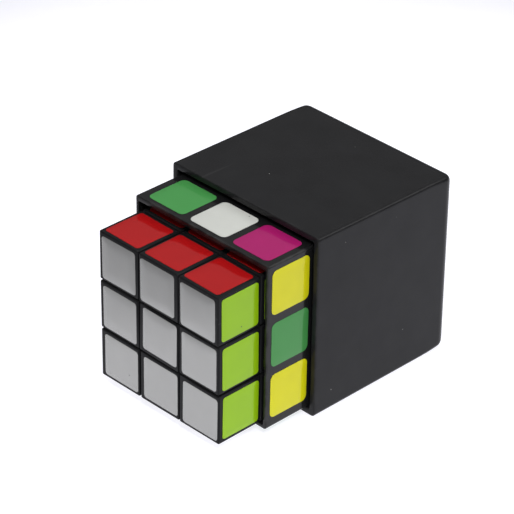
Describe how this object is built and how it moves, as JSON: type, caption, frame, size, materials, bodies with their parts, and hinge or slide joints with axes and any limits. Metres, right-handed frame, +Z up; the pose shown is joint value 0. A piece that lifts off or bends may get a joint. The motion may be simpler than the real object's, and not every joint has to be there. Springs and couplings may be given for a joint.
{
  "type": "puzzle box",
  "caption": "Nested magician's puzzle box lying on its side: a twisty cube drawn out of a coloured shell, drawn out of a plain black cover.",
  "frame": {"origin": "on the table, under the middle of the whole drawn-out box", "axes": "+Z up; +Y along the slide, from the cube at the front to the cover's closed end at the back; +X to the right seen from the front"},
  "size_m": [0.0692, 0.104, 0.0692],
  "materials": {
    "cover": "satin black moulded plastic",
    "shell": "satin black moulded plastic under vinyl stickers",
    "cubies": "satin black ABS",
    "caps": "satin black ABS",
    "core": "plain dark nylon",
    "steel": "bright zinc plate",
    "silver_film": "silver metallised vinyl square",
    "red_film": "red vinyl square",
    "lime_film": "lime green vinyl square",
    "green_film": "green vinyl square",
    "white_film": "white vinyl square",
    "magenta_film": "magenta vinyl square",
    "yellow_film": "yellow vinyl square"
  },
  "bodies": {
    "cover": {"cover": "cover"},
    "shell": {"shell": "shell"},
    "cube": {"core": "core", "bottom_left_edge": "cubies", "left_centre": "cubies", "left_cap": "caps", "left_screw": "steel", "left_washer": "steel", "left_spring": "steel", "top_left_edge": "cubies", "rear_bottom_left_corner": "cubies", "rear_left_edge": "cubies", "rear_top_left_corner": "cubies", "front_screw": "steel", "front_washer": "steel", "front_spring": "steel", "bottom_centre": "cubies", "bottom_cap": "caps", "bottom_screw": "steel", "bottom_washer": "steel", "bottom_spring": "steel", "top_centre": "cubies", "top_cap": "caps", "top_screw": "steel", "top_washer": "steel", "top_spring": "steel", "rear_bottom_edge": "cubies", "rear_centre": "cubies", "rear_cap": "caps", "rear_screw": "steel", "rear_washer": "steel", "rear_spring": "steel", "rear_top_edge": "cubies", "bottom_right_edge": "cubies", "right_centre": "cubies", "right_cap": "caps", "right_screw": "steel", "right_washer": "steel", "right_spring": "steel", "top_right_edge": "cubies", "rear_bottom_right_corner": "cubies", "rear_right_edge": "cubies", "rear_top_right_corner": "cubies"},
    "front_layer": {"front_bottom_left_corner": "cubies", "front_left_edge": "cubies", "front_top_left_corner": "cubies", "front_bottom_edge": "cubies", "front_centre": "cubies", "front_cap": "caps", "front_top_edge": "cubies", "front_bottom_right_corner": "cubies", "front_right_edge": "cubies", "front_top_right_corner": "cubies"}
  },
  "joints": [
    {"name": "shell_slide", "type": "slide", "parent": "cover", "child": "shell", "axis": [0, -1, 0], "range_m": [-0.0197, 0.0421]},
    {"name": "cube_slide", "type": "slide", "parent": "shell", "child": "cube", "axis": [0, -1, 0], "range_m": [-0.0191, 0.0405]},
    {"name": "front_layer_turn", "type": "hinge", "parent": "cube", "child": "front_layer", "pos_m": [0, -0.02355, 0.033], "axis": [0, -1, 0], "continuous": true}
  ]
}
